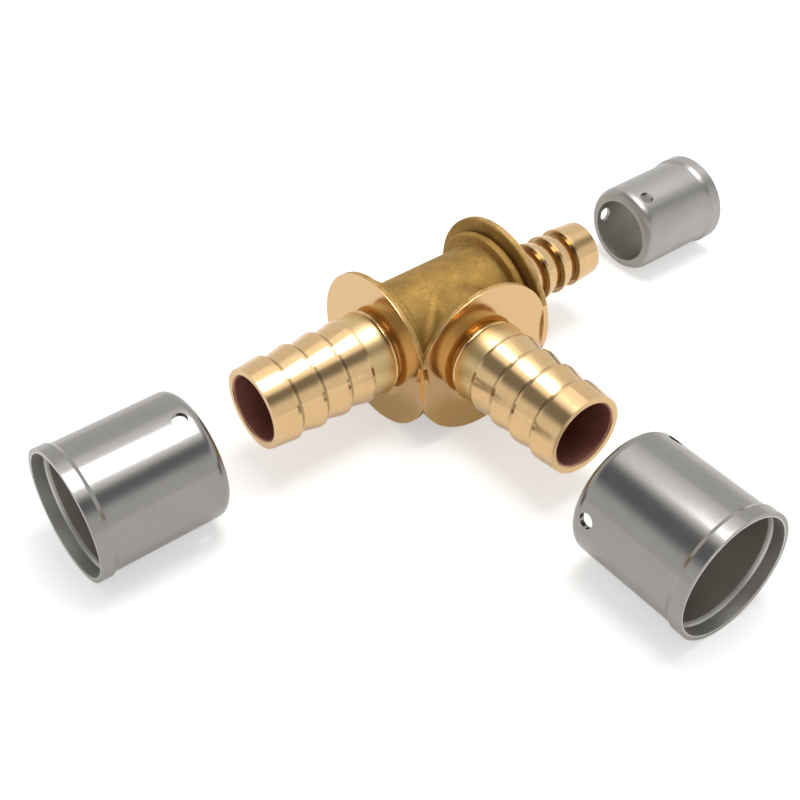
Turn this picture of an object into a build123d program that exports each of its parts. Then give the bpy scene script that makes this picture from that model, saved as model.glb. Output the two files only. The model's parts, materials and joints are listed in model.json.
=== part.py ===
"""Reducing tee for flexible water pipe, with its three crimp sleeves drawn off the barbs.

Millimetres, +Z up. The origin is where the axes of the run and the branch cross. The run
lies along X, its large barb towards -X and its reduced barb towards +X, and the branch
points along -Y. The tee lies on the rims of its three collars, and each sleeve lies on the
same surface in front of the barb that it belongs to, with its rolled end towards the tee.
"""
from build123d import *
import math
import os

os.makedirs("parts", exist_ok=True)

# Pipe that each size of outlet takes
LARGE_PIPE_OD = 22.2
LARGE_PIPE_WALL = 2.45
SMALL_PIPE_OD = 15.9
SMALL_PIPE_WALL = 1.7

# Turned barbs, whose rib crests grip the bore of the pipe
BARB_GRIP = 0.2
LARGE_BARB_LENGTH = 28.6
SMALL_BARB_LENGTH = 23.8
LARGE_NOSE_RIB = 5.5
SMALL_NOSE_RIB = 5.9
LARGE_NECK = 6.0
SMALL_NECK = 5.2
RIB_COUNT = 4
RIB_HEIGHT = 1.05
RIB_LAND = 0.6
NOSE_DROP = 0.45
ROOT_FILLET = 0.5
BARB_WALL = 2.0
MOUTH_CHAMFER = 0.4

# Cast body, and the grooved ring and the collar that end it at each outlet
BODY_OD = 22.6
BRANCH_DRAFT = 0.4
SADDLE_FILLET = 2.2
LARGE_FACE_AT = 15.4
SMALL_FACE_AT = 16.4
RING_STEP = 2.4
RING_WIDTH = 1.7
GROOVE_WIDTH = 0.7
GROOVE_DEPTH = 1.2
COLLAR_STEP = 2.4
COLLAR_THICKNESS = 1.4
COVE_RADIUS = 0.5
CAST_ROUND = 0.4

# Crimp sleeves
SLEEVE_WALL = 1.0
PIPE_CLEARANCE = 1.4
SLEEVE_SHORTFALL = 1.6
LIP_RADIUS = 1.1
FLARE_LENGTH = 2.4
FLARE_RAMP = 0.8
FLARE_HEIGHT = 0.45
WITNESS_DIAMETER = 3.0
WITNESS_AT = 3.9
WITNESS_COUNT = 3

# Where the drawn-off sleeves lie: gap from the mouth of the barb, shift to its left, and
# the turn of the first witness hole from the level direction
RUN_SLEEVE_GAP = 12.9
RUN_SLEEVE_SHIFT = 0.3
RUN_SLEEVE_TURN = 75
BRANCH_SLEEVE_GAP = 11.7
BRANCH_SLEEVE_SHIFT = -2.1
BRANCH_SLEEVE_TURN = 168
REDUCED_SLEEVE_GAP = 18.0
REDUCED_SLEEVE_SHIFT = 5.1
REDUCED_SLEEVE_TURN = 110

# Sizes that follow
LARGE_MOUTH_AT = LARGE_FACE_AT + LARGE_BARB_LENGTH
SMALL_MOUTH_AT = SMALL_FACE_AT + SMALL_BARB_LENGTH
LARGE_BARB_OD = LARGE_PIPE_OD - 2 * LARGE_PIPE_WALL + BARB_GRIP
SMALL_BARB_OD = SMALL_PIPE_OD - 2 * SMALL_PIPE_WALL + BARB_GRIP
LARGE_BORE = LARGE_BARB_OD - 2 * BARB_WALL
SMALL_BORE = SMALL_BARB_OD - 2 * BARB_WALL
BRANCH_BODY_OD = BODY_OD - 2 * BRANCH_DRAFT
RING_OD = BODY_OD + 2 * RING_STEP
COLLAR_OD = RING_OD + 2 * COLLAR_STEP
SURFACE_Z = -COLLAR_OD / 2

# Each outlet looks along the x axis of its own plane, with the plane's y axis up
RUN_OUTLET = Plane(origin=(0, 0, 0), x_dir=(-1, 0, 0), z_dir=(0, 1, 0))
BRANCH_OUTLET = Plane(origin=(0, 0, 0), x_dir=(0, -1, 0), z_dir=(-1, 0, 0))
REDUCED_OUTLET = Plane(origin=(0, 0, 0), x_dir=(1, 0, 0), z_dir=(0, -1, 0))


def barb_outline(face_at, length, nose_rib, neck, barb_od):
    """Points of the saw-tooth profile, from the mouth to the collar face."""
    crest = barb_od / 2
    root = crest - RIB_HEIGHT
    first = face_at + length - nose_rib
    pitch = (first - face_at - neck) / (RIB_COUNT - 1)
    points = [(face_at + length, crest - NOSE_DROP)]
    for rib in range(RIB_COUNT):
        station = first - pitch * rib
        points += [(station + RIB_LAND, crest), (station, crest), (station, root)]
    return points + [(face_at, root)]


def corners(section, places):
    """The corners of a section that lie at the given places of its own plane."""
    spots = [Vector(*place, 0) for place in places]
    return section.sketch_local.vertices().filter_by(
        lambda corner: any((Vector(*corner) - spot).length < 1e-4 for spot in spots)
    )


def outlet(plane, face_at, length, nose_rib, neck, barb_od, body_od):
    """Cast ring and collar with the barb turned in front of them, all round one axis."""
    collar_back = face_at - COLLAR_THICKNESS
    ring_front = collar_back - GROOVE_WIDTH
    ring_back = ring_front - RING_WIDTH
    start = ring_back - 2 * COVE_RADIUS
    ring = RING_OD / 2
    groove = ring - GROOVE_DEPTH
    collar = COLLAR_OD / 2
    cove_corner = (ring_back, body_od / 2)
    root_corner = (face_at, barb_od / 2 - RIB_HEIGHT)
    cast_corners = [(ring_back, ring), (ring_front, ring), (collar_back, collar)]
    with BuildPart() as arm:
        with BuildSketch(plane) as section:
            with BuildLine():
                Polyline(
                    (start, 0),
                    (face_at + length, 0),
                    *barb_outline(face_at, length, nose_rib, neck, barb_od),
                    (face_at, collar),
                    (collar_back, collar),
                    (collar_back, groove),
                    (ring_front, groove),
                    (ring_front, ring),
                    (ring_back, ring),
                    cove_corner,
                    (start, body_od / 2),
                    close=True,
                )
            make_face()
            fillet(corners(section, [cove_corner]), COVE_RADIUS)
            fillet(corners(section, [root_corner]), ROOT_FILLET)
            fillet(corners(section, cast_corners), CAST_ROUND)
        revolve(axis=Axis(plane.origin, plane.x_dir))
    return arm.part


def waterway(plane, mouth_at, bore, depth):
    """The bore of an outlet, with its chamfered mouth, as a solid to be cut away."""
    radius = bore / 2
    flare = radius + MOUTH_CHAMFER
    with BuildPart() as water:
        with BuildSketch(plane):
            with BuildLine():
                Polyline(
                    (mouth_at - depth, 0),
                    (mouth_at - depth, radius),
                    (mouth_at - MOUTH_CHAMFER, radius),
                    (mouth_at, flare),
                    (mouth_at, 0),
                    close=True,
                )
            make_face()
        revolve(axis=Axis(plane.origin, plane.x_dir))
    return water.part


with BuildPart() as tee_body:
    run_start = LARGE_FACE_AT - COLLAR_THICKNESS
    run_end = SMALL_FACE_AT - COLLAR_THICKNESS
    with BuildSketch(Plane.YZ.offset(-run_start)):
        Circle(BODY_OD / 2)
    extrude(amount=run_start + run_end)
    with BuildSketch(Plane.XZ):
        Circle(BRANCH_BODY_OD / 2)
    extrude(amount=run_start)
    fillet(tee_body.edges().filter_by(GeomType.BSPLINE), SADDLE_FILLET)
    add(outlet(RUN_OUTLET, LARGE_FACE_AT, LARGE_BARB_LENGTH, LARGE_NOSE_RIB, LARGE_NECK,
               LARGE_BARB_OD, BODY_OD))
    add(outlet(BRANCH_OUTLET, LARGE_FACE_AT, LARGE_BARB_LENGTH, LARGE_NOSE_RIB, LARGE_NECK,
               LARGE_BARB_OD, BRANCH_BODY_OD))
    add(outlet(REDUCED_OUTLET, SMALL_FACE_AT, SMALL_BARB_LENGTH, SMALL_NOSE_RIB, SMALL_NECK,
               SMALL_BARB_OD, BODY_OD))
    add(waterway(RUN_OUTLET, LARGE_MOUTH_AT, LARGE_BORE, LARGE_MOUTH_AT + LARGE_BORE / 2),
        mode=Mode.SUBTRACT)
    add(waterway(BRANCH_OUTLET, LARGE_MOUTH_AT, LARGE_BORE, LARGE_MOUTH_AT),
        mode=Mode.SUBTRACT)
    add(waterway(REDUCED_OUTLET, SMALL_MOUTH_AT, SMALL_BORE, SMALL_MOUTH_AT),
        mode=Mode.SUBTRACT)
tee_body.part.label = "tee_body"


def witness_plane(lie, turn):
    """A plane on the sleeve's axis that faces out through a witness hole."""
    radians = math.radians(turn)
    return Plane(
        origin=lie.from_local_coords((WITNESS_AT, 0, 0)),
        x_dir=lie.x_dir,
        z_dir=lie.y_dir * math.sin(radians) - lie.z_dir * math.cos(radians),
    )


def sleeve(outlet_plane, mouth_at, gap, shift, turn, barb_od, barb_length, pipe_od):
    """A crimp sleeve lying in front of its barb, rolled lip towards the tee.

    The lip passes over the barb and stops the pipe, so its opening lies midway between them.
    """
    lip = (barb_od + pipe_od) / 4
    inside = (pipe_od + PIPE_CLEARANCE) / 2
    outside = inside + SLEEVE_WALL
    length = barb_length - SLEEVE_SHORTFALL
    flare_start = length - FLARE_LENGTH
    ramp_start = flare_start - FLARE_RAMP
    axis_height = SURFACE_Z + outside + FLARE_HEIGHT
    lie = Plane(
        origin=outlet_plane.from_local_coords((mouth_at + gap, axis_height, -shift)),
        x_dir=outlet_plane.x_dir,
        z_dir=outlet_plane.z_dir,
    )
    outer_corner = (0, outside)
    inner_corner = (SLEEVE_WALL, inside)
    with BuildPart() as shell:
        with BuildSketch(lie) as section:
            with BuildLine():
                Polyline(
                    (0, lip),
                    outer_corner,
                    (ramp_start, outside),
                    (flare_start, outside + FLARE_HEIGHT),
                    (length, outside + FLARE_HEIGHT),
                    (length, inside + FLARE_HEIGHT),
                    (flare_start, inside + FLARE_HEIGHT),
                    (ramp_start, inside),
                    inner_corner,
                    (SLEEVE_WALL, lip),
                    close=True,
                )
            make_face()
            fillet(corners(section, [outer_corner]), LIP_RADIUS + SLEEVE_WALL)
            fillet(corners(section, [inner_corner]), LIP_RADIUS)
        revolve(axis=Axis(lie.origin, lie.x_dir))
        for hole in range(WITNESS_COUNT):
            with BuildSketch(witness_plane(lie, turn + hole * 360 / WITNESS_COUNT)):
                Circle(WITNESS_DIAMETER / 2)
            extrude(amount=outside + SLEEVE_WALL, mode=Mode.SUBTRACT)
    return shell.part


run_sleeve = sleeve(RUN_OUTLET, LARGE_MOUTH_AT, RUN_SLEEVE_GAP, RUN_SLEEVE_SHIFT,
                    RUN_SLEEVE_TURN, LARGE_BARB_OD, LARGE_BARB_LENGTH, LARGE_PIPE_OD)
run_sleeve.label = "run_sleeve"

branch_sleeve = sleeve(BRANCH_OUTLET, LARGE_MOUTH_AT, BRANCH_SLEEVE_GAP, BRANCH_SLEEVE_SHIFT,
                       BRANCH_SLEEVE_TURN, LARGE_BARB_OD, LARGE_BARB_LENGTH, LARGE_PIPE_OD)
branch_sleeve.label = "branch_sleeve"

reduced_sleeve = sleeve(REDUCED_OUTLET, SMALL_MOUTH_AT, REDUCED_SLEEVE_GAP,
                        REDUCED_SLEEVE_SHIFT, REDUCED_SLEEVE_TURN, SMALL_BARB_OD,
                        SMALL_BARB_LENGTH, SMALL_PIPE_OD)
reduced_sleeve.label = "reduced_sleeve"

export_step(tee_body.part, "parts/tee_body.step")
export_step(run_sleeve, "parts/run_sleeve.step")
export_step(branch_sleeve, "parts/branch_sleeve.step")
export_step(reduced_sleeve, "parts/reduced_sleeve.step")
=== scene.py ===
"""Dress a brass reducing tee and its stainless crimp sleeves, and set up their stage."""
import json
import math

import bmesh
import bpy
from bpy.props import FloatProperty, FloatVectorProperty, PointerProperty
from mathutils import Matrix, Vector


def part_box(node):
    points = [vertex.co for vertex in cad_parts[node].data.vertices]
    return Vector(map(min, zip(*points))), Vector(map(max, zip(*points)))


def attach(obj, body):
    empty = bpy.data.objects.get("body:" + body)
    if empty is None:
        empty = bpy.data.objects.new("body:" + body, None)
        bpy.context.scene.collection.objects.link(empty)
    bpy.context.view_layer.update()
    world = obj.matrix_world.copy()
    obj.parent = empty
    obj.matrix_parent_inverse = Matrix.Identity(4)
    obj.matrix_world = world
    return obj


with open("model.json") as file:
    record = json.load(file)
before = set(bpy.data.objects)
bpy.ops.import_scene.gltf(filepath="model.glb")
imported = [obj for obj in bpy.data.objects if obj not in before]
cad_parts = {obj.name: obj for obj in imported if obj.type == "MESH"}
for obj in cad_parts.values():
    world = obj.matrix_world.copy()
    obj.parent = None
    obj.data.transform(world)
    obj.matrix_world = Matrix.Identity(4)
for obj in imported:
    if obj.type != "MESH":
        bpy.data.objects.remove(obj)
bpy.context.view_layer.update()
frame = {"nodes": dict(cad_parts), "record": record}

bl_info = {
    "name": "Crimp Fitting Dresser",
    "version": (1, 0, 0),
    "blender": (4, 5, 0),
    "location": "3D View > Sidebar > Fitting",
    "description": "Finishes for a reducing tee and its crimp sleeves, with stage, light and camera",
    "category": "Object",
}

MM = 0.001
MOUNTS = {mount["name"]: mount for mount in frame["record"]["mounts"]}
OUTLETS = (
    # barb, its bore, and how far the collar's face lies behind the ribs
    ("run_barb", "run_waterway", 6.0 * MM),
    ("branch_barb", "branch_waterway", 6.0 * MM),
    ("reduced_barb", "reduced_waterway", 5.2 * MM),
)
SLEEVES = {
    # how much rougher and paler each sleeve is than the settings say
    "run_sleeve": (0.0, 1.0),
    "branch_sleeve": (0.0, 1.0),
    "reduced_sleeve": (0.14, 1.3),
}
FLOOR_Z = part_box("tee_body")[0][2]
UP = (0.0, 0.0, 1.0)
WHITE = (1.0, 1.0, 1.0, 1.0)
BLACK = (0.0, 0.0, 0.0, 1.0)

# Lengths along and across an outlet. A barb's mount ends a little inside its mouth.
MOUNT_INSET = 0.1 * MM
RIB_LAND = 0.6 * MM
RIBS_BEHIND_NOSE = 3
COLLAR_THICKNESS = 1.4 * MM
GROOVE_WIDTH = 0.7 * MM
RING_WIDTH = 1.7 * MM
RING_RADIUS = 13.7 * MM

# Painted shade beside an edge: how far its middle is from the edge, half its width, and how dark it is.
RING_SHADE_BAND = (-0.35 * MM, 0.33 * MM, 0.35)
GROOVE_SHADE_BAND = (0.0, 0.33 * MM, 0.35)
NECK_SHADE_BAND = (0.85 * MM, 0.6 * MM, 0.6)
RIB_SHADE_BAND = (-0.45 * MM, 0.65 * MM, 1.0)
# Painted shade on the collar faces, darker towards the bottom: it starts at the first height and is full
# at the second.
LOWER_SHADE_FROM = -2.0 * MM
LOWER_SHADE_BY = -9.0 * MM

# The neck rib: its crest stays inside the barb's, and its foot is sunk into the neck.
RIB_BELOW_CREST = 0.05 * MM
RIB_SEAT = 0.4 * MM
RIB_BACK = 0.3 * MM
RIB_CORNER_ALONG = 0.15
RIB_CORNER_DOWN = 0.1
RIB_SEGMENTS = 192
SHARP_ANGLE = math.radians(25.0)

# What the metal mirrors. Directions are fixed in the room.
ROOM_COLOUR = (0.56, 0.555, 0.55)
CEILING = (0.20, 0.04, 0.97)
CEILING_EDGE = (0.77, 0.90)
CEILING_GLOW = 1.35
WALL_GREY = 0.86
DARK_SIDE = (-0.707, -0.707, 0.0)
DARK_SIDE_EDGE = (-0.6, -0.2)
DARK_SIDE_RISE = (0.36, 0.66)
DARK_SIDE_DEPTH = 0.72
LAMP_SIDE = (0.10, -0.03, 0.99)
LAMP_DISTANCE = 0.5

# The paper: its glow under the fitting, in the metal and far away, and where it turns white.
PAPER_HALF = 1.5
FLOOR_GLOW = 0.48
FLOOR_GLOW_MIRRORED = 0.29
FAR_GLOW = 0.6
WHITE_FROM = 0.16
WHITE_BY = 0.42


def colour(value, factor=1.0):
    """A colour with its alpha, made darker or paler by a factor."""
    return (*(factor * part for part in value), 1.0)


# Node tools ---------------------------------------------------------------------------


def new_group(name, inputs, outputs):
    """An empty shader node group with its sockets; returns tree, input and output nodes."""
    tree = bpy.data.node_groups.new(name, "ShaderNodeTree")
    for label, kind, default in inputs:
        socket = tree.interface.new_socket(name=label, in_out="INPUT", socket_type=kind)
        socket.default_value = default
    for label, kind in outputs:
        tree.interface.new_socket(name=label, in_out="OUTPUT", socket_type=kind)
    return tree, tree.nodes.new("NodeGroupInput"), tree.nodes.new("NodeGroupOutput")


class Wiring:
    """Short calls to add linked nodes to a shader tree."""

    def __init__(self, tree):
        self.tree = tree

    def put(self, socket, value):
        """Set a socket to a number, a vector or the output of another node."""
        if isinstance(value, bpy.types.NodeSocket):
            self.tree.links.new(value, socket)
        else:
            socket.default_value = value

    def maths(self, operation, first, second=0.0):
        """One Math node."""
        node = self.tree.nodes.new("ShaderNodeMath")
        node.operation = operation
        self.put(node.inputs[0], first)
        self.put(node.inputs[1], second)
        return node.outputs[0]

    def times(self, first, second):
        """Two numbers multiplied."""
        return self.maths("MULTIPLY", first, second)

    def larger(self, first, second):
        """The larger of two numbers."""
        return self.maths("MAXIMUM", first, second)

    def vector(self, operation, first, second=(0.0, 0.0, 0.0)):
        """One Vector Math node; its number output for lengths, distances and dot products."""
        node = self.tree.nodes.new("ShaderNodeVectorMath")
        node.operation = operation
        self.put(node.inputs[0], first)
        self.put(node.inputs[1], second)
        numbers = {"LENGTH", "DISTANCE", "DOT_PRODUCT"}
        return node.outputs["Value" if operation in numbers else "Vector"]

    def scaled(self, first, factor):
        """A vector times a number."""
        node = self.tree.nodes.new("ShaderNodeVectorMath")
        node.operation = "SCALE"
        self.put(node.inputs[0], first)
        self.put(node.inputs["Scale"], factor)
        return node.outputs["Vector"]

    def step(self, value, low, high):
        """0 below low, 1 above high and smooth between them."""
        node = self.tree.nodes.new("ShaderNodeMapRange")
        node.interpolation_type = "SMOOTHSTEP"
        self.put(node.inputs["Value"], value)
        self.put(node.inputs["From Min"], low)
        self.put(node.inputs["From Max"], high)
        return node.outputs["Result"]

    def between(self, value, low, high):
        """A number from 0 to 1 moved to the span from low to high."""
        node = self.tree.nodes.new("ShaderNodeMapRange")
        self.put(node.inputs["Value"], value)
        self.put(node.inputs["To Min"], low)
        self.put(node.inputs["To Max"], high)
        return node.outputs["Result"]

    def mix(self, factor, first, second):
        """Two colours mixed."""
        node = self.tree.nodes.new("ShaderNodeMix")
        node.data_type = "RGBA"
        self.put(node.inputs["Factor"], factor)
        self.put(node.inputs["A"], first)
        self.put(node.inputs["B"], second)
        return node.outputs["Result"]

    def noise(self, vector, scale, detail=2.0, roughness=0.5, dimensions="3D"):
        """A noise texture's value, over a vector or, in one dimension, over a number."""
        node = self.tree.nodes.new("ShaderNodeTexNoise")
        node.noise_dimensions = dimensions
        self.put(node.inputs["W" if dimensions == "1D" else "Vector"], vector)
        self.put(node.inputs["Scale"], scale)
        self.put(node.inputs["Detail"], detail)
        self.put(node.inputs["Roughness"], roughness)
        return node.outputs["Fac"]

    def place(self):
        """The position on the object, in metres."""
        return self.tree.nodes.new("ShaderNodeTexCoord").outputs["Object"]

    def group(self, tree, **values):
        """A node group with its inputs set by name; underscores stand for spaces."""
        node = self.tree.nodes.new("ShaderNodeGroup")
        node.node_tree = tree
        for name, value in values.items():
            self.put(node.inputs[name.replace("_", " ")], value)
        return node.outputs

    def bump(self, height, strength, distance):
        """A bump node for the shader's normal."""
        node = self.tree.nodes.new("ShaderNodeBump")
        node.inputs["Strength"].default_value = strength
        node.inputs["Distance"].default_value = distance
        self.put(node.inputs["Height"], height)
        return node.outputs["Normal"]


def shared_group(name, build):
    """A node group by name, built the first time that a material asks for it."""
    return bpy.data.node_groups.get(name) or build(name)


def turned_frame_group(name):
    """Station and radius of a point about an axis, which every turned surface is built on."""
    tree, inputs, outputs = new_group(
        name,
        [("Axis", "NodeSocketVector", (1.0, 0.0, 0.0)), ("Origin", "NodeSocketVector", (0.0, 0.0, 0.0))],
        [("Station", "NodeSocketFloat"), ("Radius", "NodeSocketFloat")],
    )
    wire = Wiring(tree)
    offset = wire.vector("SUBTRACT", wire.place(), inputs.outputs["Origin"])
    station = wire.vector("DOT_PRODUCT", offset, inputs.outputs["Axis"])
    along = wire.scaled(inputs.outputs["Axis"], station)
    wire.put(outputs.inputs["Station"], station)
    wire.put(outputs.inputs["Radius"], wire.vector("LENGTH", wire.vector("SUBTRACT", offset, along)))
    return tree


def tool_marks_group(name):
    """Fine rings that a cutting tool or a polishing belt leaves round a turned surface."""
    tree, inputs, outputs = new_group(
        name,
        [("Track", "NodeSocketFloat", 0.0), ("Pitch", "NodeSocketFloat", 0.0002)],
        [("Height", "NodeSocketFloat"), ("Streak", "NodeSocketFloat")],
    )
    wire = Wiring(tree)
    scale = wire.maths("DIVIDE", 1.0, inputs.outputs["Pitch"])
    fine = wire.noise(inputs.outputs["Track"], scale, detail=3.0, roughness=0.6, dimensions="1D")
    coarse_scale = wire.times(scale, 0.17)
    coarse = wire.noise(inputs.outputs["Track"], coarse_scale, detail=2.0, dimensions="1D")
    wire.put(outputs.inputs["Height"], fine)
    wire.put(outputs.inputs["Streak"], coarse)
    return tree


def cast_grain_group(name):
    """The skin of a sand casting: close grain, soft unevenness and a blotched colour."""
    tree, inputs, outputs = new_group(
        name,
        [("Grain", "NodeSocketFloat", 0.0005)],
        [("Height", "NodeSocketFloat"), ("Blotch", "NodeSocketFloat"), ("Pits", "NodeSocketFloat"),
         ("Speckle", "NodeSocketFloat")],
    )
    wire = Wiring(tree)
    place = wire.place()
    scale = wire.maths("DIVIDE", 1.0, inputs.outputs["Grain"])
    grain = wire.noise(place, scale, detail=4.0, roughness=0.65)
    wave = wire.noise(place, wire.times(scale, 0.12), detail=3.0)
    height = wire.maths("ADD", wire.times(grain, 0.6), wave)
    pits = wire.step(wire.noise(place, wire.times(scale, 0.45), detail=2.0), 0.62, 0.72)
    wire.put(outputs.inputs["Height"], wire.maths("SUBTRACT", height, wire.times(pits, 0.5)))
    wire.put(outputs.inputs["Blotch"], wave)
    wire.put(outputs.inputs["Pits"], pits)
    wire.put(outputs.inputs["Speckle"], grain)
    return tree


def worn_highlit_edge_group(name):
    """Sharp edges, where handling has rubbed the metal bright, with a painted highlight along them."""
    tree, inputs, outputs = new_group(
        name,
        [("Low", "NodeSocketFloat", 0.52), ("High", "NodeSocketFloat", 0.62)],
        [("Mask", "NodeSocketFloat")],
    )
    wire = Wiring(tree)
    geometry = tree.nodes.new("ShaderNodeNewGeometry")
    edge = wire.step(geometry.outputs["Pointiness"], inputs.outputs["Low"], inputs.outputs["High"])
    patchy = wire.noise(wire.place(), 350.0, detail=3.0)
    wire.put(outputs.inputs["Mask"], wire.times(edge, wire.step(patchy, 0.3, 0.6)))
    return tree


def ring_shade_group(name):
    """A narrow ring round a turned surface: the mask for painted shade in a groove or at a rib's foot."""
    tree, inputs, outputs = new_group(
        name,
        [("Station", "NodeSocketFloat", 0.0), ("Centre", "NodeSocketFloat", 0.0),
         ("Half Width", "NodeSocketFloat", 0.0005)],
        [("Mask", "NodeSocketFloat")],
    )
    wire = Wiring(tree)
    offset = wire.maths("SUBTRACT", inputs.outputs["Station"], inputs.outputs["Centre"])
    away = wire.maths("ABSOLUTE", offset)
    half = inputs.outputs["Half Width"]
    wire.put(outputs.inputs["Mask"], wire.step(away, half, wire.times(half, 0.5)))
    return tree


def new_material(name):
    """A node material with its Principled BSDF and an empty wiring."""
    material = bpy.data.materials.new(name)
    material.use_nodes = True
    wire = Wiring(material.node_tree)
    return material, wire, material.node_tree.nodes["Principled BSDF"]


def dress(node, material):
    """Give a carried-over node its finish."""
    mesh_object = frame["nodes"][node]
    for slot in mesh_object.material_slots:
        slot.material = material
    if not mesh_object.material_slots:
        mesh_object.data.materials.append(material)


# Settings -----------------------------------------------------------------------------


class BrassSettings(bpy.types.PropertyGroup):
    """Colours and marks of the tee."""

    machined: FloatVectorProperty(
        name="Machined brass", description="Colour of the barbs and the collar faces",
        subtype="COLOR", size=3, min=0.0, max=1.0, default=(0.76, 0.52, 0.265))
    cast: FloatVectorProperty(
        name="Cast brass", description="Colour of the body as it left the mould",
        subtype="COLOR", size=3, min=0.0, max=1.0, default=(0.45, 0.28, 0.082))
    bore: FloatVectorProperty(
        name="Bore", description="Colour of the dull waterway",
        subtype="COLOR", size=3, min=0.0, max=1.0, default=(0.50, 0.23, 0.18))
    # Painted shade: the brown that the grooves, the rib feet and the collar's corner darken towards.
    groove_shade_colour: FloatVectorProperty(
        name="Painted_shade", description="Colour of the dirt that stays in the grooves",
        subtype="COLOR", size=3, min=0.0, max=1.0, default=(0.20, 0.14, 0.07))
    tool_pitch: FloatProperty(
        name="Tool pitch", description="Spacing of the turning marks",
        unit="LENGTH", default=0.00022, min=0.00001)
    grain: FloatProperty(
        name="Grain", description="Size of the sand grain on the casting",
        unit="LENGTH", default=0.00042, min=0.00005)


class RibSettings(bpy.types.PropertyGroup):
    """The short rib on each barb's neck, next to the collar."""

    crest_gap: FloatProperty(
        name="Crest from collar", description="Distance from the collar's face to the crest",
        unit="LENGTH", default=0.0014, min=0.0001)
    land: FloatProperty(
        name="Land", description="Width of the flat on the crest",
        unit="LENGTH", default=0.0005, min=0.00005)
    depth: FloatProperty(
        name="Depth", description="Height of the crest over the neck",
        unit="LENGTH", default=0.00098, min=0.0001)


class SteelSettings(bpy.types.PropertyGroup):
    """Colours and marks of the crimp sleeves."""

    outside: FloatVectorProperty(
        name="Sleeve", description="Colour of the drawn stainless tube",
        subtype="COLOR", size=3, min=0.0, max=1.0, default=(0.35, 0.338, 0.325))
    inside: FloatVectorProperty(
        name="Sleeve inside", description="Colour of the sleeve's dull inside",
        subtype="COLOR", size=3, min=0.0, max=1.0, default=(0.40, 0.385, 0.345))
    # The flare's inside is a paler steel: a painted sheen for the light that it catches.
    flare: FloatVectorProperty(
        name="Flare inside", description="Colour of the flare's inside, which the pipe polishes",
        subtype="COLOR", size=3, min=0.0, max=1.0, default=(0.62, 0.61, 0.59))
    polish_pitch: FloatProperty(
        name="Polish pitch", description="Spacing of the polishing lines",
        unit="LENGTH", default=0.00016, min=0.00001)


class StageSettings(bpy.types.PropertyGroup):
    """Camera, floor and light."""

    azimuth: FloatProperty(
        name="Azimuth", description="Direction that the camera looks in, from +Y",
        subtype="ANGLE", default=math.radians(-37.3))
    elevation: FloatProperty(
        name="Elevation", description="How far the camera looks down",
        subtype="ANGLE", default=math.radians(41.6))
    roll: FloatProperty(
        name="Roll", description="Tilt of the camera about its view",
        subtype="ANGLE", default=math.radians(-0.68))
    distance: FloatProperty(
        name="Distance", description="From the camera to the point it looks at",
        unit="LENGTH", default=0.2691)
    lens: FloatProperty(
        name="Lens", description="Focal length on a 36 mm sensor", default=61.25)
    target: FloatVectorProperty(
        name="Target", description="Point in the middle of the view",
        subtype="TRANSLATION", unit="LENGTH", size=3, default=(-0.01558, -0.0085, -0.00735))
    floor_colour: FloatVectorProperty(
        name="Floor", description="Colour of the paper that the fitting lies on",
        subtype="COLOR", size=3, min=0.0, max=1.0, default=(0.77, 0.755, 0.74))
    softbox_power: FloatProperty(
        name="Softbox", description="Power of the lamp overhead, in watts", default=1.25)
    softbox_size: FloatProperty(
        name="Softbox size", description="Side of the lamp overhead",
        unit="LENGTH", default=0.23)


# Operators ----------------------------------------------------------------------------


class FITTING_OT_turn_neck_ribs(bpy.types.Operator):
    """Turn the short rib on the neck of each barb, with its crest next to the collar"""

    bl_idname = "fitting.turn_neck_ribs"
    bl_label = "Turn the neck ribs"

    def execute(self, context):
        material = bpy.data.materials.get("brass")
        if material is None:
            raise RuntimeError("The neck ribs need the tee's brass: finish the tee first")
        for barb, bore, neck in OUTLETS:
            axis, face, _ = outlet_values(barb, bore, neck)
            crest = MOUNTS[barb]["dims"]["r_mm"] * MM - RIB_BELOW_CREST
            rib = neck_rib(barb + "_neck_rib", axis, face, neck, crest, context.scene.fitting_ribs)
            rib.data.materials.append(material)
            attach(rib, "root")
        return {"FINISHED"}


def neck_rib(name, axis, face, neck, crest, settings):
    """A saw-tooth ring: its slope rises from the last rib to a crest beside the collar."""
    root = crest - settings.depth
    inside = root - RIB_SEAT
    top = face + settings.crest_gap
    outline = [
        (face + neck, root),
        (top + settings.land, crest),
        (top + RIB_CORNER_ALONG * settings.land, crest),
        (top, crest - RIB_CORNER_DOWN * settings.depth),
        (top - RIB_BACK, root),
        (top - RIB_BACK, inside),
        (face + neck, inside),
    ]
    side = Vector(UP)
    across = axis.cross(side)
    vertices = []
    for step in range(RIB_SEGMENTS):
        angle = math.tau * step / RIB_SEGMENTS
        out = side * math.cos(angle) + across * math.sin(angle)
        vertices.extend(axis * station + out * radius for station, radius in outline)
    count = len(outline)
    faces = []
    for step in range(RIB_SEGMENTS):
        here, there = step * count, (step + 1) % RIB_SEGMENTS * count
        for point in range(count):
            beside = (point + 1) % count
            faces.append((here + point, here + beside, there + beside, there + point))
    mesh = bpy.data.meshes.new(name)
    mesh.from_pydata(vertices, [], faces)
    shape = bmesh.new()
    shape.from_mesh(mesh)
    bmesh.ops.recalc_face_normals(shape, faces=shape.faces)
    shape.to_mesh(mesh)
    shape.free()
    mesh.shade_smooth()
    mesh.set_sharp_from_angle(angle=SHARP_ANGLE)
    rib = bpy.data.objects.new(name, mesh)
    bpy.context.collection.objects.link(rib)
    return rib


class FITTING_OT_finish_tee(bpy.types.Operator):
    """Give the tee its cast body, turned barbs and dull waterways"""

    bl_idname = "fitting.finish_tee"
    bl_label = "Finish the tee"

    def execute(self, context):
        dress("tee_body", brass_material(context.scene.fitting_brass))
        return {"FINISHED"}


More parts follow.
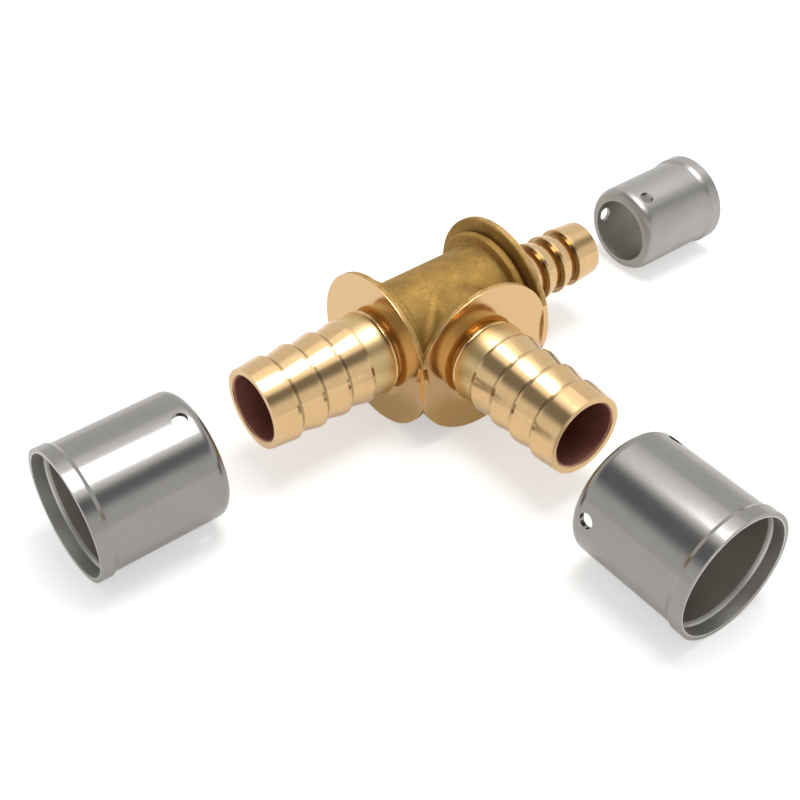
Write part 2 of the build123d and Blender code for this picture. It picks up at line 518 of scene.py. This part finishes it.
def outlet_values(mount_name, bore_name, neck):
    """Axis, collar face and bore radius of an outlet, from its mounts."""
    barb = MOUNTS[mount_name]
    bore = MOUNTS[bore_name]
    axis = Vector(barb["axis"])
    end = Vector(barb["pos_m"]).dot(axis) + MOUNT_INSET
    return axis, end - barb["dims"]["length_mm"] * MM - neck, bore["dims"]["r_mm"] * MM


def shaded_rings(mount_name, face, neck):
    """The rings of painted shade on an outlet: centre, half width, outer radius and darkness of each."""
    barb = MOUNTS[mount_name]
    crest = barb["dims"]["r_mm"] * MM
    nose_root = Vector(barb["pos_m"]).dot(Vector(barb["axis"])) + MOUNT_INSET - RIB_LAND
    last_root = face + neck
    pitch = (nose_root - last_root) / RIBS_BEHIND_NOSE
    groove = face - COLLAR_THICKNESS - 0.5 * GROOVE_WIDTH
    casting = groove - 0.5 * GROOVE_WIDTH - RING_WIDTH
    edges = [
        (casting, RING_SHADE_BAND, RING_RADIUS),
        (groove, GROOVE_SHADE_BAND, RING_RADIUS),
        (face, NECK_SHADE_BAND, crest),
    ]
    for rib in range(RIBS_BEHIND_NOSE + 1):
        edges.append((last_root + rib * pitch, RIB_SHADE_BAND, crest))
    return [(edge + shift, half, reach, shade) for edge, (shift, half, shade), reach in edges]


def brass_masks(wire):
    """Where the tee is turned, bored and painted with shade, and the track of its tool marks."""
    turned_frame = shared_group("Turned Frame", turned_frame_group)
    ring_shade = shared_group("Ring Shade", ring_shade_group)
    tracks = None
    machined = bored = groove_shade_mask = lobes = 0.0
    for barb, bore, neck in OUTLETS:
        axis, face, bore_radius = outlet_values(barb, bore, neck)
        about = wire.group(turned_frame, Axis=tuple(axis))
        in_front = wire.step(about["Station"], face - 0.25 * MM, face - 0.05 * MM)
        machined = wire.larger(machined, in_front)
        # Painted shade in the grooves, at the rib feet and in the collar's corner.
        for centre, half, reach, shade in shaded_rings(barb, face, neck):
            ring = wire.group(ring_shade, Station=about["Station"], Centre=centre, Half_Width=half)
            near = wire.step(about["Radius"], reach + 0.3 * MM, reach + 0.1 * MM)
            groove_shade_mask = wire.larger(groove_shade_mask, wire.times(wire.times(ring["Mask"], near), shade))
        crest = MOUNTS[barb]["dims"]["r_mm"] * MM
        beyond = wire.step(about["Radius"], crest + 0.4 * MM, crest + 1.4 * MM)
        lobes = wire.larger(lobes, wire.times(in_front, beyond))
        inside = wire.step(about["Radius"], bore_radius + 0.5 * MM, bore_radius + 0.05 * MM)
        open_half = wire.step(about["Station"], -bore_radius, 0.0)
        bored = wire.larger(bored, wire.times(inside, open_half))
        track = wire.times(wire.maths("ADD", about["Station"], about["Radius"]), in_front)
        tracks = track if tracks is None else wire.maths("ADD", tracks, track)
    # Painted shade on the collar faces, darker towards the bottom.
    underneath = wire.step(wire.vector("DOT_PRODUCT", wire.place(), UP), LOWER_SHADE_FROM, LOWER_SHADE_BY)
    return machined, bored, groove_shade_mask, wire.times(lobes, underneath), tracks


def brass_material(settings):
    """One casting whose barbs and collar faces are turned bright."""
    material, wire, shader = new_material("brass")
    machined, bored, groove_shade_mask, lower_face_shade, tracks = brass_masks(wire)
    unturned = wire.maths("SUBTRACT", 1.0, machined)
    marks = wire.group(shared_group("Tool Marks", tool_marks_group),
                       Track=tracks, Pitch=settings.tool_pitch)
    grain = wire.group(shared_group("Cast Grain", cast_grain_group), Grain=settings.grain)
    worn_highlight = wire.group(shared_group("Worn_Highlit Edge", worn_highlit_edge_group), Low=0.52, High=0.58)

    bright = wire.mix(wire.times(marks["Streak"], 0.35), colour(settings.machined),
                      colour(settings.machined, 0.84))
    # Painted shade: the collar faces turn towards the cast colour, darker towards the bottom.
    bright = wire.mix(wire.times(lower_face_shade, 0.6), bright, colour(settings.cast))
    dull = wire.mix(wire.step(grain["Blotch"], 0.35, 0.7), colour(settings.cast, 0.82),
                    colour(settings.cast, 1.15))
    speckled = wire.step(grain["Speckle"], 0.56, 0.40)
    dull = wire.mix(wire.times(speckled, 0.4), dull, colour(settings.cast, 0.55))
    dull = wire.mix(wire.times(grain["Pits"], 0.25), dull, colour(settings.cast, 0.45))
    # Rubbed bright edges, partly a painted highlight on the casting's edges.
    dull = wire.mix(wire.times(worn_highlight["Mask"], 0.8), dull, colour(settings.machined))
    skin = wire.mix(machined, dull, bright)
    # Painted shade in the grooves, at the rib feet and in the collar's corner.
    skin = wire.mix(wire.times(groove_shade_mask, 0.65), skin, colour(settings.groove_shade_colour))
    skin = wire.mix(bored, skin, colour(settings.bore))
    wire.put(shader.inputs["Base Color"], skin)
    shader.inputs["Metallic"].default_value = 1.0

    turned_rough = wire.times(machined, wire.between(marks["Streak"], 0.10, 0.18))
    cast_rough = wire.times(unturned, wire.between(grain["Blotch"], 0.58, 0.74))
    rough = wire.larger(wire.maths("ADD", turned_rough, cast_rough), wire.times(bored, 0.6))
    wire.put(shader.inputs["Roughness"], rough)

    turned_height = wire.times(wire.times(marks["Height"], machined), 0.04)
    height = wire.maths("ADD", turned_height, wire.times(grain["Height"], unturned))
    wire.put(shader.inputs["Normal"], wire.bump(height, 0.55, 0.12 * MM))
    return material


class FITTING_OT_finish_sleeves(bpy.types.Operator):
    """Give each crimp sleeve its satin outside and its dull inside"""

    bl_idname = "fitting.finish_sleeves"
    bl_label = "Finish the crimp sleeves"

    def execute(self, context):
        for node, (satin, pale) in SLEEVES.items():
            dress(node, steel_material(node, context.scene.fitting_steel, satin, pale))
        return {"FINISHED"}


def steel_material(node, settings, satin, pale):
    """Drawn stainless tube, belt polished round its axis outside and dull inside."""
    bore = MOUNTS[node + "_bore"]
    bore_radius = bore["dims"]["r_mm"] * MM
    material, wire, shader = new_material(node + "_steel")
    about = wire.group(shared_group("Turned Frame", turned_frame_group),
                       Axis=tuple(Vector(bore["axis"])), Origin=tuple(bore["pos_m"]))
    track = wire.maths("ADD", about["Station"], about["Radius"])
    marks = wire.group(shared_group("Tool Marks", tool_marks_group),
                       Track=track, Pitch=settings.polish_pitch)
    smudge = wire.step(wire.noise(wire.place(), 160.0, detail=4.0, roughness=0.6), 0.35, 0.8)
    inner = wire.step(about["Radius"], bore_radius + 0.35 * MM, bore_radius + 0.15 * MM)
    within = wire.step(about["Radius"], bore_radius + 0.75 * MM, bore_radius + 0.6 * MM)
    mouth = wire.times(within, wire.step(about["Station"], -1.5 * MM, 0.0))

    plain = [pale * part for part in settings.outside]
    outside = wire.mix(wire.times(marks["Streak"], 0.25), colour(plain), colour(plain, 0.8))
    outside = wire.mix(wire.times(smudge, 0.2), outside, colour(plain, 0.7))
    # Painted sheen: the flare's inside is paler than the tube, for the light that it catches.
    outside = wire.mix(mouth, outside, colour(settings.flare))
    wire.put(shader.inputs["Base Color"], wire.mix(inner, outside, colour(settings.inside)))
    shader.inputs["Metallic"].default_value = 1.0

    rough = wire.between(marks["Streak"], 0.15 + satin, 0.22 + satin)
    rough = wire.maths("ADD", rough, wire.times(smudge, 0.05))
    rough = wire.larger(rough, wire.times(mouth, 0.42))
    wire.put(shader.inputs["Roughness"], wire.larger(rough, wire.times(inner, 0.55)))
    wire.put(shader.inputs["Normal"], wire.bump(marks["Height"], 0.03, 0.002 * MM))
    return material


class FITTING_OT_set_stage(bpy.types.Operator):
    """Lay the paper, hang the softbox and place the camera"""

    bl_idname = "fitting.set_stage"
    bl_label = "Set the stage"

    def execute(self, context):
        settings = context.scene.fitting_stage
        lay_floor(settings)
        hang_softbox(settings)
        light_room(context.scene)
        place_camera(context.scene, settings)
        context.scene.view_settings.view_transform = "Standard"
        return {"FINISHED"}


def lay_floor(settings):
    """White paper, which shows as white and still holds the fitting's shadow."""
    mesh = bpy.data.meshes.new("paper")
    corners = [(x * PAPER_HALF, y * PAPER_HALF, FLOOR_Z) for x, y in ((-1, -1), (1, -1), (1, 1), (-1, 1))]
    mesh.from_pydata(corners, [], [(0, 1, 2, 3)])
    paper = bpy.data.objects.new("paper", mesh)
    bpy.context.collection.objects.link(paper)
    material, wire, shader = new_material("paper")
    wire.put(shader.inputs["Base Color"], colour(settings.floor_colour))
    shader.inputs["Roughness"].default_value = 0.9
    shader.inputs["Specular IOR Level"].default_value = 0.1
    path = material.node_tree.nodes.new("ShaderNodeLightPath")
    ground = material.node_tree.nodes.new("ShaderNodeTexCoord").outputs["Object"]
    away = wire.step(wire.vector("DISTANCE", ground, (0.0, 0.0, FLOOR_Z)), WHITE_FROM, WHITE_BY)
    looked_at = wire.times(path.outputs["Is Camera Ray"], wire.between(away, FLOOR_GLOW, FAR_GLOW))
    through = wire.larger(path.outputs["Is Glossy Ray"], path.outputs["Is Transmission Ray"])
    mirrored = wire.times(through, wire.between(away, FLOOR_GLOW_MIRRORED, FAR_GLOW))
    shader.inputs["Emission Color"].default_value = WHITE
    wire.put(shader.inputs["Emission Strength"], wire.larger(looked_at, mirrored))
    mesh.materials.append(material)


def hang_softbox(settings):
    """A square softbox almost straight overhead."""
    light = bpy.data.lights.new("softbox", "AREA")
    light.shape = "SQUARE"
    light.size = settings.softbox_size
    light.energy = settings.softbox_power
    lamp = bpy.data.objects.new("softbox", light)
    bpy.context.collection.objects.link(lamp)
    direction = Vector(LAMP_SIDE).normalized()
    lamp.location = direction * LAMP_DISTANCE
    lamp.rotation_euler = direction.to_track_quat("Z", "Y").to_euler()


def light_room(scene):
    """A pale studio, with a bright ceiling and a dark side in front of the two large barbs."""
    world = bpy.data.worlds.new("room")
    world.use_nodes = True
    scene.world = world
    wire = Wiring(world.node_tree)
    background = world.node_tree.nodes["Background"]
    path = world.node_tree.nodes.new("ShaderNodeLightPath")
    direction = world.node_tree.nodes.new("ShaderNodeTexCoord").outputs["Generated"]
    rise = wire.step(wire.vector("DOT_PRODUCT", direction, UP), *DARK_SIDE_RISE)
    facing = wire.step(wire.vector("DOT_PRODUCT", direction, DARK_SIDE), *DARK_SIDE_EDGE)
    dark = wire.times(wire.times(rise, facing), DARK_SIDE_DEPTH)
    walls = wire.mix(wire.times(wire.maths("SUBTRACT", 1.0, dark), WALL_GREY), BLACK, WHITE)
    ceiling = wire.step(wire.vector("DOT_PRODUCT", direction, CEILING), *CEILING_EDGE)
    reflected = wire.mix(ceiling, walls, colour((CEILING_GLOW,) * 3))
    plain = wire.mix(path.outputs["Is Glossy Ray"], colour(ROOM_COLOUR), reflected)
    shown = wire.mix(path.outputs["Is Camera Ray"], plain, WHITE)
    wire.put(background.inputs["Color"], shown)
    background.inputs["Strength"].default_value = 1.0


def place_camera(scene, settings):
    """Look at the fitting from above its branch side."""
    azimuth, elevation, roll = settings.azimuth, settings.elevation, settings.roll
    level = math.cos(elevation)
    look = Vector((-math.sin(azimuth) * level, math.cos(azimuth) * level, -math.sin(elevation)))
    right = Vector((math.cos(azimuth), math.sin(azimuth), 0.0))
    up = right.cross(look)
    turned_right = right * math.cos(roll) + up * math.sin(roll)
    turned_up = up * math.cos(roll) - right * math.sin(roll)
    camera_data = bpy.data.cameras.new("camera")
    camera_data.lens = settings.lens
    camera_data.clip_start = 0.01
    camera = bpy.data.objects.new("camera", camera_data)
    bpy.context.collection.objects.link(camera)
    rotation = Matrix((turned_right, turned_up, -look)).transposed().to_4x4()
    camera.matrix_world = Matrix.Translation(Vector(settings.target) - look * settings.distance) @ rotation
    scene.camera = camera


class FITTING_PT_sidebar(bpy.types.Panel):
    """The steps that dress the fitting"""

    bl_label = "Crimp fitting"
    bl_idname = "FITTING_PT_sidebar"
    bl_space_type = "VIEW_3D"
    bl_region_type = "UI"
    bl_category = "Fitting"

    def draw(self, context):
        for settings in (context.scene.fitting_brass, context.scene.fitting_ribs,
                         context.scene.fitting_steel, context.scene.fitting_stage):
            column = self.layout.column()
            for name in settings.__annotations__:
                column.prop(settings, name)
        for operator in OPERATORS:
            self.layout.operator(operator.bl_idname)


SETTINGS = {
    "fitting_brass": BrassSettings,
    "fitting_ribs": RibSettings,
    "fitting_steel": SteelSettings,
    "fitting_stage": StageSettings,
}
OPERATORS = (
    FITTING_OT_finish_tee,
    FITTING_OT_turn_neck_ribs,
    FITTING_OT_finish_sleeves,
    FITTING_OT_set_stage,
)


def register():
    """Register the settings, the operators and the panel."""
    for name, settings in SETTINGS.items():
        bpy.utils.register_class(settings)
        setattr(bpy.types.Scene, name, PointerProperty(type=settings))
    for operator in OPERATORS:
        bpy.utils.register_class(operator)
    bpy.utils.register_class(FITTING_PT_sidebar)


def unregister():
    """Take away what register added."""
    bpy.utils.unregister_class(FITTING_PT_sidebar)
    for operator in reversed(OPERATORS):
        bpy.utils.unregister_class(operator)
    for name, settings in reversed(SETTINGS.items()):
        delattr(bpy.types.Scene, name)
        bpy.utils.unregister_class(settings)


def main():
    """Dress the fitting and set the stage."""
    register()
    bpy.ops.fitting.finish_tee()
    bpy.ops.fitting.turn_neck_ribs()
    bpy.ops.fitting.finish_sleeves()
    bpy.ops.fitting.set_stage()


if __name__ == "__main__":
    main()
